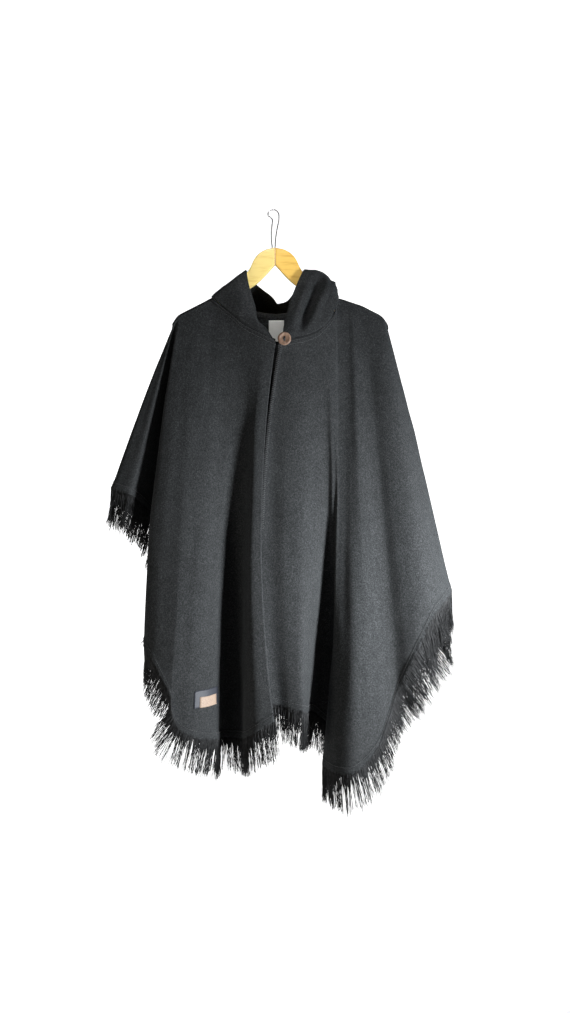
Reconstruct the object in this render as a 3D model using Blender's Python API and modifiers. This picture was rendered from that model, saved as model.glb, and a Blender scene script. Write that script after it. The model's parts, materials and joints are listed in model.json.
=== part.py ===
"""A black hooded poncho with a fringed hem, hanging on a two-armed wooden hanger.

Metres, +Z up. The front faces -Y and +X is the right of the view. The origin is the inside of the top
of the hanger's wire hook, where a peg or a rail carries everything. Tables are in millimetres.
"""

from math import pi, sin, sqrt

import bmesh
import bpy
from mathutils import Vector

MM = 0.001

# Cloth and seams
CLOTH = 2.0
SEAM_GAP = 0.3

# Hanger
HANGER_MIDDLE = -3.0
WOOD_THICK = 12.0
WOOD_ROUNDING = 4.0
WIRE = 3.0

# Shoulder line: the cloth's top over the hanger, a straight slope to each side of the middle
SHOULDER_TOP = -117.3
SHOULDER_SLOPE = 0.512
SHOULDER_HALF_DEPTH = 9.0
SHOULDER_LEFT = -224.0
SHOULDER_RIGHT = 239.0
SHOULDER_TIP_DROP = 12.0
SHOULDER_TIP_ROUND = 18.0
SHOULDER_EASE = 9.0
ROLL_HEIGHT = 9.0
TIP_GAP = 2.2

# Folds deepen fast under the neck and then slower, as they do below a yoke
DEPTH_POWER = 0.8
LATE_POWER = 1.25
LATE_FOLDS = ("recess_bed", "recess_wall", "hidden", "hidden_wall")
LENGTHWAYS = (0.0, 0.06, 0.14, 0.25, 0.37, 0.51, 0.64, 0.77, 0.89, 1.0)
SLIT_ROWS = 5

# Fringe
FRINGE_LENGTH = 76.0
FRINGE_PITCH = 18.5
LOCK_WIDTH = 9.0
LOCK_TIP = 3.0
STRIP_HEIGHT = 5.0

BUTTON_DIAMETER = 28.0
BUTTON_THICK = 3.6
BUTTON_PLACE = (17.0, -56.0, -283.0)
HOLE_DIAMETER = 3.2
HOLE_SPACING = 7.0

# The neck seam seen in front and behind: x, y, z
NECK_FRONT = (
    (-140, -9, -187.4),
    (-118, -17, -205),
    (-94, -26, -225),
    (-73, -33, -244),
    (-56, -38.5, -255),
    (-39, -44, -264),
    (-22, -48, -273),
    (-2, -50, -283),
    (5, -50, -285),
    (18, -49, -284),
    (39, -47, -280),
    (65, -43, -274),
    (88, -37, -263),
    (103, -32, -250),
    (114, -27, -238),
    (123, -22, -225),
    (130, -15, -208),
    (134, -9, -187.4),
)
NECK_BACK = (
    (-140, 9, -187.4),
    (-112, 19, -207),
    (-70, 26, -222),
    (0, 29, -229),
    (60, 27, -224),
    (105, 19, -207),
    (134, 9, -187.4),
)

# Fold lines of the front, left of the slit: name, x at the top, x, y and z at the hem, sideways bow
FRONT_LEFT = (
    ("ridge", -224, -357, 20, -595, -4),
    ("ridge_turn", -223.85, -357, 12, -596, -4),
    ("wing_face", -222.6, -336, -2, -604, 0),
    ("wing_crease", -221, -314, -8, -610, 0),
    ("wing_inner", -219, -296, 15, -625, 0),
    ("wing_shadow", -217, -272, 50, -654, 0),
    ("gully_bed", -215, -223, 62, -753, 0),
    ("gully_wall", -213, -234, 10, -876, -6),
    ("side_fold", -210, -280, -38, -930, -14),
    ("side_face", -200, -260, -62, -958, -6),
    ("side_hem", -187, -241, -74, -989, 0),
    ("corner_up", -173, -221, -84, -1027, 0),
    ("corner", -156, -217, -87, -1067, 0),
    ("corner_low", -141, -201, -86, -1098, 0),
    ("neck_corner", -139.5, -186, -85, -1108, 0),
    ("left_lobe", -118, -166, -82, -1118, -8),
    ("recess_lip", -94, -139, -58, -1128, -20),
    ("recess_bed", -73, -127, 34, -1139, 0),
    ("recess_wall", -56, -86, 12, -1135, -8),
    ("belly_lip", -39, -61, -60, -1119, -14),
    ("belly", -22, -38, -84, -1101, -24),
    ("front_edge", -2, -3, -92, -1079, -28),
)
FRONT_RIGHT = (
    ("front_edge", 5, -17, -72, -1046, -28),
    ("under", 18, 6, -70, -1050, -26),
    ("belly", 39, 33, -84, -1056, -18),
    ("belly_lip", 65, 55, -88, -1060, -8),
    ("recess_lip", 88, 62, -58, -1068, 2),
    ("recess_bed", 103, 86, 34, -1087, 14),
    ("hidden", 114, 122, 46, -1126, 8),
    ("hidden_wall", 123, 118, -8, -1173, 8),
    ("lobe_fold", 130, 97, -70, -1183, 4),
    ("neck_corner", 133.5, 107, -86, -1187, 3),
    ("lobe", 136, 124, -97, -1188, 4),
    ("lobe_low", 146, 153, -104, -1185, 4),
    ("corner_low", 156, 187, -100, -1163, 0),
    ("corner", 168, 212, -92, -1133, 0),
    ("corner_up", 179, 234, -80, -1079, 0),
    ("side_hem", 190, 253, -74, -1022, 0),
    ("side_face", 201, 275, -84, -971, 0),
    ("side_turn", 213, 303, -88, -911, 0),
    ("wing_under", 221, 331, -78, -860, 0),
    ("wing_lip", 232, 359, -45, -832, 0),
    ("ridge_turn", 238.85, 375, -9, -816, 3),
    ("ridge", 239, 375, 0, -815, 3),
)
BACK = (
    ("left_ridge", -224, -357, 20, -595, -4),
    ("left_turn", -223.85, -357, 29, -596, -4),
    ("left_edge", -222.6, -350, 44, -608, 0),
    ("left_wing", -220, -328, 58, -621, 0),
    ("left_wing_inner", -215, -290, 74, -654, 0),
    ("left_side_up", -208, -246, 98, -755, 0),
    ("left_side", -196, -252, 108, -914, 0),
    ("left_corner_up", -178, -231, 146, -1017, 0),
    ("left_corner", -158, -191, 96, -1071, 0),
    ("fold_1", -141, -160, 142, -1087, 0),
    ("left_neck", -139.5, -131, 142, -1087, 0),
    ("valley_1", -112, -100, 88, -1077, 0),
    ("fold_2", -70, -52, 148, -1072, 0),
    ("valley_2", 0, -2, 88, -1062, 0),
    ("fold_3", 60, 48, 150, -1068, 0),
    ("valley_3", 105, 92, 88, -1069, 0),
    ("right_neck", 133.5, 120, 138, -1087, 0),
    ("fold_4", 136, 149, 140, -1087, 0),
    ("valley_4", 154, 178, 90, -1105, 0),
    ("right_corner_low", 172, 216, 150, -1106, 0),
    ("right_corner", 188, 250, 92, -1071, 0),
    ("right_side", 204, 283, 142, -1033, 0),
    ("right_side_up", 219, 318, 94, -981, 0),
    ("right_wing", 231, 354, 96, -926, 0),
    ("right_edge", 236.7, 374, 56, -863, 0),
    ("right_turn", 238.85, 375, 9, -816, 3),
    ("right_ridge", 239, 375, 0, -815, 3),
)

# Hood stations from its front edge round to the middle of the back: which side of the hanger its seam is
# on (-1 in front, 0 over the shoulder, 1 behind), seam x, lift off the neck seam, rim x, y, z, then how
# far the cloth stands forward, how far it rises over the straight line, and how much of it is the pouch
HOOD_LEFT = (
    (-1, -8, 0, -16, -49, -266, 0, 0, 0),
    (-1, -39, 0, -41, -36, -238, 5, 0, 0),
    (-1, -73, 0, -44, -27, -216, 8, 0, 0),
    (-1, -94, 0, -52, -20, -188, 10, 0, 0),
    (-1, -118, 0, -60, -14, -158, 8, 1, 0),
    (-1, -136, 1, -64, -9, -130, 2, 3, 0),
    (0, -139, 1, -64, 0, -128, 0, 3, 0),
    (1, -132, 2, -60, 10, -134, -2, 3, 0.2),
    (1, -112, 0, -48, 26, -148, -6, 3, 0.4),
    (1, -75, 0, -28, 52, -160, -6, 0, 0.75),
    (1, -38, 0, -8, 82, -170, -6, 0, 0.97),
    (1, -0.4, 0, -0.4, 100, -180, -6, 0, 1),
)
HOOD_RIGHT = (
    (-1, 13, 0, 15, -48, -268, 0, 0, 0),
    (-1, 39, 0, 20, -38, -241, 5, 0, 0),
    (-1, 65, 0, 25, -30, -218, 6, 4, 0),
    (-1, 88, 0, 31, -25, -196, 4, 10, 0),
    (-1, 114, 0, 42, -18, -165, 6, 18, 0),
    (-1, 131.5, 9, 58, -9, -131, 2, 24, 0),
    (0, 132, 1, 60, 0, -127, 0, 26, 0),
    (1, 128, 2, 56, 10, -132, -2, 20, 0.2),
    (1, 105, 0, 46, 26, -152, -6, 8, 0.4),
    (1, 70, 0, 32, 54, -172, -6, 2, 0.75),
    (1, 38, 0, 16, 84, -180, -6, 0, 0.97),
    (1, 0.4, 0, 0.4, 100, -180, -6, 0, 1),
)
HOOD_SEAM_GAP = 1.5
POUCH_DROP = 165.0
POUCH_DEPTH = 92.0

# One arm's outline from the mitre outwards and back: distance from the middle, height, smooth or corner
ARM = (
    (0.2, -79, "VECTOR"),
    (22, -84, "AUTO"),
    (41, -98, "AUTO"),
    (55, -124, "AUTO"),
    (69, -143, "AUTO"),
    (97, -170, "AUTO"),
    (122, -182.6, "VECTOR"),
    (198, -221.5, "VECTOR"),
    (210, -232, "AUTO"),
    (213, -241, "AUTO"),
    (206, -250, "AUTO"),
    (195, -246, "VECTOR"),
    (137, -219, "VECTOR"),
    (97, -200, "AUTO"),
    (75, -185, "AUTO"),
    (54, -167, "AUTO"),
    (37, -155, "AUTO"),
    (0.2, -117, "VECTOR"),
)
# The wire leaves the wood, runs over the top, turns once on itself and goes back into the wood
HOOK = (
    (-3, -78.6),
    (-2, -62),
    (0, -45),
    (3, -30),
    (5, -17),
    (4, -4),
    (-1, 1.5),
    (-9, 3),
    (-15, 1.5),
    (-18, -4),
    (-17.5, -10),
    (-13, -13.5),
    (-9, -18),
    (-9.5, -28),
    (-11, -45),
    (-11, -60),
    (-9, -79.2),
)


def between(before, start, end, after, t):
    """A smooth curve's value between start and end."""
    return 0.5 * (
        2 * start
        + (end - before) * t
        + (2 * before - 5 * start + 4 * end - after) * t * t
        + (3 * start - before - 3 * end + after) * t * t * t
    )


def smooth(points, t):
    """A smooth curve through the points with straight ends, t counting points from the first."""
    last = len(points) - 1
    i = min(max(int(t), 0), last - 1)
    if i in (0, last - 1):
        return points[i] + (points[i + 1] - points[i]) * (t - i)
    before = points[i - 1]
    return between(before, points[i], points[i + 1], points[i + 2], t - i)


def refined(points, steps):
    """The same curve with steps pieces between neighbours."""
    return [smooth(points, i / steps) for i in range((len(points) - 1) * steps + 1)]


def along(table, x):
    """y and z of a neck seam at x."""
    for (x0, y0, z0), (x1, y1, z1) in zip(table, table[1:]):
        if x0 <= x <= x1:
            t = (x - x0) / (x1 - x0)
            return y0 + (y1 - y0) * t, z0 + (z1 - z0) * t
    raise ValueError(x)


def shoulder_z(x):
    """The shoulder's height: straight over the wood, loose on the right, and rounded down at both tips."""
    outer = SHOULDER_RIGHT if x > 0 else -SHOULDER_LEFT
    past = max(0.0, abs(x) - (outer - SHOULDER_TIP_ROUND)) / SHOULDER_TIP_ROUND
    ease = SHOULDER_EASE * min(1.0, max(0.0, (x - NECK_FRONT[-1][0]) / 50))
    return SHOULDER_TOP - SHOULDER_SLOPE * abs(x - HANGER_MIDDLE) + ease - SHOULDER_TIP_DROP * past * past


def top_point(x, side):
    """Where a fold line starts, whether it rolls over the shoulder, and how far it is round the tip."""
    neck = NECK_FRONT if side < 0 else NECK_BACK
    if neck[0][0] <= x <= neck[-1][0]:
        y, z = along(neck, x)
        return Vector((x, y, z)), 0.0, 0.0
    outer = SHOULDER_RIGHT if x > 0 else -SHOULDER_LEFT
    past = max(0.0, abs(x) - (outer - SHOULDER_HALF_DEPTH)) / SHOULDER_HALF_DEPTH
    depth = SHOULDER_HALF_DEPTH * sqrt(max(0.0, 1 - past * past))
    return Vector((x, side * max(depth, TIP_GAP), shoulder_z(x))), 1.0, past


def fold_line(row, side):
    """The points of one fold line, from the seam over the shoulder down to the hem."""
    name, top_x, hem_x, hem_y, hem_z, bow = row
    power = LATE_POWER if name in LATE_FOLDS else DEPTH_POWER
    top, roll, past = top_point(top_x, side)
    seam_y = side * (SEAM_GAP + (TIP_GAP - SEAM_GAP) * past)
    points = []
    for out, over, round_tip in ((0.0, 0.0, 0.0), (0.35, 0.02, 0.33), (0.8, 0.34, 0.67)):
        down = over + (round_tip - over) * max(past * past, 1 - roll)
        y = top.y + (seam_y + (top.y - seam_y) * out - top.y) * roll
        points.append(Vector((top.x, y, top.z - down * ROLL_HEIGHT)))
    start = Vector((top.x, top.y, top.z - ROLL_HEIGHT))
    hem = Vector((hem_x, hem_y + side * SEAM_GAP, hem_z))
    for v in LENGTHWAYS:
        point = start.lerp(hem, v)
        point.x += bow * 4 * v * (1 - v)
        point.y = start.y + (hem.y - start.y) * v**power
        points.append(point)
    return points


def sheet(table, side, steps):
    """Columns of points across a panel, with steps columns to each fold line of the table."""
    lines = [fold_line(row, side) for row in table]
    rows = [refined([line[i] for line in lines], steps) for i in range(len(lines[0]))]
    for row in rows[:3]:
        for point in row:
            point.y = side * max(side * point.y, SEAM_GAP)
    return [[row[c] for row in rows] for c in range(len(rows[0]))]


def material(name, colour, roughness, metallic=0.0):
    found = bpy.data.materials.new(name)
    found.use_nodes = True
    shader = found.node_tree.nodes["Principled BSDF"]
    shader.inputs["Base Color"].default_value = (*colour, 1)
    shader.inputs["Roughness"].default_value = roughness
    shader.inputs["Metallic"].default_value = metallic
    found.diffuse_color = (*colour, 1)
    return found


def placed(name, data, finish):
    """An object of this data in the poncho's collection, with its own material."""
    obj = bpy.data.objects.new(name, data)
    PONCHO.objects.link(obj)
    data.materials.append(material(name, *finish))
    return obj


def surface(name, grids, finish, flip=False, joined_from=None, thickness=CLOTH):
    """One cloth wall on grids of points given as columns; joined_from sews two grids below that row."""
    mesh = bpy.data.meshes.new(name)
    shape = bmesh.new()
    made = [[[shape.verts.new(p * MM) for p in column] for column in grid] for grid in grids]
    strips = [pair for grid in made for pair in zip(grid, grid[1:])]
    starts = [0] * len(strips)
    if joined_from is not None:
        strips.append((made[0][-1], made[1][0]))
        starts.append(joined_from)
    for (left, right), first in zip(strips, starts):
        for r in range(first, len(left) - 1):
            corners = (left[r], left[r + 1], right[r + 1], right[r])
            shape.faces.new(corners[::-1] if flip else corners)
    shape.to_mesh(mesh)
    shape.free()
    obj = placed(name, mesh, finish)
    wall = obj.modifiers.new("wall", "SOLIDIFY")
    wall.thickness = thickness * MM
    wall.offset = -1
    mesh.shade_smooth()
    return obj


def hood_half(name, table, finish, flip):
    """Half of the hood: front stations stand up from the neck, back ones fall into the pouch."""
    sections = []
    for where, seam_x, lift, rim_x, rim_y, rim_z, forward, rise, pouch in table:
        if where:
            y, z = along(NECK_FRONT if where < 0 else NECK_BACK, seam_x)
        else:
            y, z = 0.0, shoulder_z(seam_x)
        seam = Vector((seam_x, y, z + HOOD_SEAM_GAP + lift))
        rim = Vector((rim_x, rim_y, rim_z))
        drop = POUCH_DROP * pouch
        back = seam.y + POUCH_DEPTH * pouch
        fall = (
            seam,
            seam + Vector((0, 5, 13)),
            seam + Vector((0, 20, 13)),
            Vector((seam.x * 0.9, seam.y + 0.42 * (back - seam.y) + 6, seam.z - drop * 0.45)),
            Vector((seam.x * 0.8, seam.y + 0.72 * (back - seam.y) + 6, seam.z - drop)),
            Vector((seam.x * 0.85, back + 12, seam.z - drop * 0.7)),
            Vector((seam.x * 0.8, back + 14, seam.z - drop * 0.15)),
            rim,
        )
        section = []
        for k, hanging in enumerate(fall):
            t = k / (len(fall) - 1)
            bulge = Vector((0, -forward * sin(pi * t), rise * sin(pi * t**0.7)))
            standing = seam.lerp(rim, t) + bulge
            section.append(standing.lerp(hanging, pouch))
        sections.append(section)
    rows = [refined([section[k] for section in sections], 2) for k in range(len(sections[0]))]
    columns = [refined([row[c] for row in rows], 1) for c in range(len(rows[0]))]
    return surface(name, [columns], finish, flip)


def hem_frames(columns, side):
    """Along a hem: the point, the way down the cloth, and the way through the wall to the inside."""
    frames = []
    for c, column in enumerate(columns):
        before, after = columns[max(c - 1, 0)][-1], columns[min(c + 1, len(columns) - 1)][-1]
        across = (after - before).normalized()
        down = (column[-1] - column[-2]).normalized()
        inward = across.cross(down).normalized() * (1 if side < 0 else -1)
        out = (down - across * down.dot(across)).normalized()
        frames.append((column[-1], out, inward))
    return frames


def fringe(name, columns, side, splay, gap, finish):
    """Locks of yarn on a narrow strip under a stretch of hem, all one closed mesh."""
    frames = hem_frames(columns, side)
    lengths = [0.0]
    for (a, _, _), (b, _, _) in zip(frames, frames[1:]):
        lengths.append(lengths[-1] + (b - a).length)
    trim = 3.0
    whole = lengths[-1]
    count = max(2, round((whole - 2 * trim - LOCK_WIDTH) / FRINGE_PITCH))
    pitch = (whole - 2 * trim - LOCK_WIDTH) / count
    cuts, locks = [trim], set()
    for i in range(count + 1):
        start = max(trim + i * pitch, cuts[-1])
        for bend in lengths:
            if start < bend < start + LOCK_WIDTH:
                start = bend
        if start + LOCK_WIDTH > whole - trim + SEAM_GAP:
            break
        cuts += [bend for bend in lengths if cuts[-1] + 0.5 < bend < start - 0.5]
        if start > cuts[-1] + 0.5:
            cuts.append(start)
        locks.add(len(cuts) - 1)
        cuts.append(start + LOCK_WIDTH)

    def frame_at(s):
        for i in range(len(lengths) - 1):
            if s <= lengths[i + 1] or i == len(lengths) - 2:
                t = (s - lengths[i]) / (lengths[i + 1] - lengths[i])
                return [a.lerp(b, t) for a, b in zip(frames[i], frames[i + 1])]

    mesh = bpy.data.meshes.new(name)
    shape = bmesh.new()
    rings = []
    for s in cuts:
        point, out, inward = frame_at(s)
        out.normalize()
        inward.normalize()
        top = point + out * gap
        low = top + out * STRIP_HEIGHT
        ring = [top, top + inward * CLOTH, low + inward * CLOTH, low]
        rings.append([shape.verts.new(p * MM) for p in ring])
    for i, (near, far) in enumerate(zip(rings, rings[1:])):
        for k in (0, 1, 3):
            shape.faces.new((near[k], near[(k + 1) % 4], far[(k + 1) % 4], far[k]))
        root = (near[2], near[3], far[3], far[2])
        if i not in locks:
            shape.faces.new(root)
            continue
        middle = sum((v.co for v in root), Vector()) / 4
        _, out, _ = frame_at((cuts[i] + cuts[i + 1]) / 2)
        hang = (Vector((0, 0, -1)) + out * splay).normalized()
        end = middle + hang * FRINGE_LENGTH * MM
        tip = [shape.verts.new(end + (v.co - middle) * (LOCK_TIP / LOCK_WIDTH)) for v in root]
        for k in range(4):
            shape.faces.new((root[k], root[(k + 1) % 4], tip[(k + 1) % 4], tip[k]))
        shape.faces.new(tip)
    shape.faces.new(rings[0][::-1])
    shape.faces.new(rings[-1])
    bmesh.ops.recalc_face_normals(shape, faces=shape.faces)
    shape.to_mesh(mesh)
    shape.free()
    return placed(name, mesh, finish)


def patch(name, columns, left, right, top, low, turn, finish, thickness):
    """A label sewn on a panel: a few of the panel's own points, moved out by the seam gap."""
    steps_across, steps_down = right - left, 3
    grid = []
    for i in range(steps_across + 1):
        share = i / steps_across
        here, aside = columns[left + i], columns[left + i + 1]
        line = []
        for k in range(steps_down + 1):
            v = top + (low - top) * k / steps_down + turn * share
            point = smooth(here, v)
            out = (smooth(here, v + 0.1) - point).cross(smooth(aside, v) - point).normalized()
            line.append(point + out * (3 * SEAM_GAP + thickness))
        grid.append(line)
    return surface(name, [grid], finish, thickness=thickness)


def hanger_arm(name, sign, finish):
    """One arm: its outline filled, extruded and rounded, mitred in the middle."""
    curve = bpy.data.curves.new(name, "CURVE")
    curve.dimensions = "2D"
    curve.fill_mode = "BOTH"
    curve.extrude = (WOOD_THICK / 2 - WOOD_ROUNDING) * MM
    curve.bevel_depth = WOOD_ROUNDING * MM
    curve.bevel_resolution = 1
    curve.offset = -WOOD_ROUNDING * MM
    curve.resolution_u = 2
    spline = curve.splines.new("BEZIER")
    spline.bezier_points.add(len(ARM) - 1)
    for knot, (away, height, kind) in zip(spline.bezier_points, ARM):
        knot.co = (sign * away * MM, height * MM, 0)
        knot.handle_left_type = kind
        knot.handle_right_type = kind
    spline.use_cyclic_u = True
    arm = placed(name, curve, finish)
    arm.location.x = HANGER_MIDDLE * MM
    arm.rotation_euler.x = pi / 2
    return arm


def wire(name, points, diameter, finish, closed=False):
    curve = bpy.data.curves.new(name, "CURVE")
    curve.dimensions = "3D"
    curve.bevel_depth = diameter / 2 * MM
    curve.bevel_resolution = 2
    curve.use_fill_caps = not closed
    spline = curve.splines.new("POLY")
    spline.points.add(len(points) - 1)
    for knot, point in zip(spline.points, points):
        knot.co = (*(point * MM), 1)
    spline.use_cyclic_u = closed
    return placed(name, curve, finish)


def button(name, finish):
    """A turned disc with two holes, one over the other."""
    bpy.ops.mesh.primitive_cylinder_add(vertices=28, radius=BUTTON_DIAMETER / 2 * MM, depth=BUTTON_THICK * MM)
    disc = bpy.context.object
    disc.name = name
    disc.data.name = name
    move_to(disc, PONCHO)
    disc.data.materials.append(material(name, *finish))
    disc.location = Vector(BUTTON_PLACE) * MM
    disc.rotation_euler.x = pi / 2
    edge = disc.modifiers.new("rounded edge", "BEVEL")
    edge.width = 1.0 * MM
    edge.segments = 1
    for sign in (-1, 1):
        bpy.ops.mesh.primitive_cylinder_add(vertices=8, radius=HOLE_DIAMETER / 2 * MM, depth=4 * BUTTON_THICK * MM)
        cutter = bpy.context.object
        cutter.name = f"button_hole_{'low' if sign < 0 else 'high'}"
        move_to(cutter, CUTTERS)
        cutter.location = Vector(BUTTON_PLACE) * MM + Vector((0, 0, sign * HOLE_SPACING / 2 * MM))
        cutter.rotation_euler.x = pi / 2
        cutter.hide_render = True
        cutter.display_type = "WIRE"
        hole = disc.modifiers.new("hole", "BOOLEAN")
        hole.operation = "DIFFERENCE"
        hole.object = cutter
    return disc


def move_to(obj, collection):
    for other in list(obj.users_collection):
        other.objects.unlink(obj)
    collection.objects.link(obj)


for old in list(bpy.data.objects):
    bpy.data.objects.remove(old)
PONCHO = bpy.data.collections.new("hooded_poncho_on_hanger")
CUTTERS = bpy.data.collections.new("cutters")
bpy.context.scene.collection.children.link(PONCHO)
bpy.context.scene.collection.children.link(CUTTERS)

BLACK_CLOTH = ((0.02, 0.02, 0.022), 0.95)
BLACK_YARN = ((0.015, 0.015, 0.016), 0.9)
PALE_WOOD = ((0.85, 0.66, 0.32), 0.4)
WARM_WOOD = ((0.82, 0.55, 0.2), 0.4)
CHROME = ((0.8, 0.8, 0.82), 0.2, 1.0)
BROWN_SHELL = ((0.25, 0.14, 0.08), 0.45)
WHITE_TAPE = ((0.85, 0.85, 0.83), 0.7)
DARK_TAPE = ((0.05, 0.05, 0.055), 0.7)

# Hanger: two mitred arms and the wire hook
hanger_arm("hanger_arm_left", -1, PALE_WOOD)
hanger_arm("hanger_arm_right", 1, WARM_WOOD)
hook_line = refined([Vector((x, 0, z)) for x, z in HOOK], 2)
wire("hanger_hook", hook_line, WIRE, CHROME)

# Body: the front with its slit, and the back
front_left = sheet(FRONT_LEFT, -1, 2)
front_right = sheet(FRONT_RIGHT, -1, 2)
back = sheet(BACK, 1, 2)
surface("front", [front_left, front_right], BLACK_CLOTH, joined_from=3 + SLIT_ROWS)
surface("back", [back], BLACK_CLOTH, flip=True)

# Hood: two halves, meeting in the middle of the back
hood_half("hood_left", HOOD_LEFT, BLACK_CLOTH, flip=True)
hood_half("hood_right", HOOD_RIGHT, BLACK_CLOTH, flip=False)

# Fringe: the panel, the first and last fold line of each stretch, how far the locks stand off the hem,
# and the strip's gap to the hem, wider where the hem turns sharply
PANELS = {
    "front_left": (FRONT_LEFT, front_left, -1),
    "front_right": (FRONT_RIGHT, front_right, -1),
    "back": (BACK, back, 1),
}
FRINGES = (
    ("fringe_left_wing", "front_left", "ridge", "wing_shadow", 0.6, 1.0),
    ("fringe_left_gully", "front_left", "wing_shadow", "side_fold", 0.3, 1.7),
    ("fringe_left_side", "front_left", "side_fold", "corner", 0.9, 1.0),
    ("fringe_left_front", "front_left", "corner", "recess_lip", 0.8, 1.0),
    ("fringe_left_recess", "front_left", "recess_lip", "belly_lip", 0.3, 1.0),
    ("fringe_middle_left", "front_left", "belly_lip", "front_edge", 0.3, 1.0),
    ("fringe_middle_right", "front_right", "front_edge", "recess_lip", 0.3, 1.0),
    ("fringe_right_recess", "front_right", "recess_lip", "hidden_wall", 0.3, 1.0),
    ("fringe_right_lobe", "front_right", "lobe_fold", "corner", 0.8, 1.0),
    ("fringe_right_side", "front_right", "corner", "side_turn", 1.2, 1.0),
    ("fringe_right_wing", "front_right", "side_turn", "ridge_turn", 1.0, 1.0),
    ("fringe_back_left_side", "back", "left_edge", "left_corner", 0.6, 1.7),
    ("fringe_back_left", "back", "left_corner", "valley_2", 0.4, 1.0),
    ("fringe_back_right", "back", "valley_2", "valley_4", 0.4, 1.0),
    ("fringe_back_right_corner", "back", "valley_4", "right_side", 0.8, 1.0),
    ("fringe_back_right_side", "back", "right_side", "right_edge", 1.5, 1.7),
)
for fringe_name, panel, first, last, splay, gap in FRINGES:
    table, columns, side = PANELS[panel]
    names = [row[0] for row in table]
    stretch = columns[2 * names.index(first) : 2 * names.index(last) + 1]
    fringe(fringe_name, stretch, side, splay, gap, BLACK_YARN)

# Button and its thread, on the right front's neck corner
button("button", BROWN_SHELL)
thread_x, thread_y, thread_z = BUTTON_PLACE
reach = HOLE_SPACING / 2
face = BUTTON_THICK / 2
THREAD = 1.6
behind = -52.4 - thread_y
loop = [
    Vector((thread_x, thread_y + dy, thread_z + dz))
    for dy, dz in (
        (-face - 1.1, -reach + 0.8),
        (-face - 1.1, reach - 0.8),
        (-face - 0.3, reach),
        (face + 0.5, reach),
        (behind, reach - 1.2),
        (behind, -reach + 1.2),
        (face + 0.5, -reach),
        (-face - 0.3, -reach),
    )
]
wire("button_thread", loop, THREAD, BLACK_YARN, closed=True)

# Labels: a white tape hanging from the back neck seam, a dark one sewn near the hem
LABEL_WIDTH, LABEL_LENGTH, LABEL_THICK = 33.0, 46.0, 0.8
label_top = Vector((-0.5, 25.0, -230.5))
neck_label = [
    [
        label_top + Vector((LABEL_WIDTH * (u - 0.5), -2.5 * sin(pi * v / 2), -LABEL_LENGTH * v))
        for v in (0, 0.33, 0.66, 1)
    ]
    for u in (0, 0.5, 1)
]
surface("neck_label", [neck_label], WHITE_TAPE, thickness=LABEL_THICK)
patch("hem_label", front_left, 27, 32, 11.05, 11.4, -0.3, DARK_TAPE, 0.8)
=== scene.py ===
import json
from math import atan2, cos, exp, pi, radians, sin, sqrt

import bmesh
import bpy
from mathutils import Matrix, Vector, noise

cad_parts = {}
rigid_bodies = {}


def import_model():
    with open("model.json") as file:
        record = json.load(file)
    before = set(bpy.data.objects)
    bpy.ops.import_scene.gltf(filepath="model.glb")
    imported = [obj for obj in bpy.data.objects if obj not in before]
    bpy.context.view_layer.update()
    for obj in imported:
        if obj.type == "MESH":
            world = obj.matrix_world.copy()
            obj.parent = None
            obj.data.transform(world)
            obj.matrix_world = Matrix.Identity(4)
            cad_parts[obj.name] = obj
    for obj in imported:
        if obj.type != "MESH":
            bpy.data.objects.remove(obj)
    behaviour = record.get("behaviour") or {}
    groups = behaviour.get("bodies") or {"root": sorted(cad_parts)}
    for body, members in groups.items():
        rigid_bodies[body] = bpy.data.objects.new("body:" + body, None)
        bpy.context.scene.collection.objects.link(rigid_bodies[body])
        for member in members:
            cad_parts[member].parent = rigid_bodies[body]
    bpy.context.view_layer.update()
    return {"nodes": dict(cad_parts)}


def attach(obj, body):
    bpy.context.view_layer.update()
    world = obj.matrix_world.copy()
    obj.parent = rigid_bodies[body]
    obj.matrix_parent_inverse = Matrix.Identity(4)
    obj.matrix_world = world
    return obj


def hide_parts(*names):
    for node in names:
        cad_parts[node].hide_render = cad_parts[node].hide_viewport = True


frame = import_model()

# Front panel: one piece of thick felted wool with a slit from the neck, held by the neck seam and by the
# hanger under its shoulders. Its hem is turned up in a stitched band.
# Tables are in millimetres, some folds softer than the solid's; the origin is the top of the wire hook.
MM = 0.001
CLOTH = 2.0
SEAM_GAP = 0.05
HANGER_MIDDLE = -3.0
SHOULDER_TOP = -117.3
SHOULDER_SLOPE = 0.512
SHOULDER_HALF_DEPTH = 9.0
SHOULDER_LEFT = -224.0
SHOULDER_RIGHT = 239.0
SHOULDER_TIP_DROP = 12.0
SHOULDER_TIP_ROUND = 18.0
SHOULDER_EASE = 9.0
EASE_RUN = 50.0
ROLL_HEIGHT = 9.0
TIP_GAP = 2.2
# Powers of the way down by which a panel bellies out and the depth at its top fades
DEPTH_POWER = 0.8
START_POWER = 0.4
FULLNESS = 76.0
# Folds that open lower down: the powers of the way down at which they deepen and sway aside
LATE_FOLDS = {
    "recess_lip": (1.1, 1.6),
    "recess_bed": (1.5, 1.6),
    "recess_wall": (1.4, 1.6),
    "belly_lip": (1.1, 1.6),
    "lobe_recess": (2.0, 1.6),
    "hidden": (2.6, 3.0),
    "hidden_wall": (2.6, 3.0),
    "lobe_fold": (2.4, 3.0),
    "lobe_neck": (3.0, 3.0),
    "lobe": (2.2, 3.0),
    "lobe_low": (1.6, 1.6),
}
SLIT_END = 0.51
COLUMNS_PER_FOLD = 8

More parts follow.
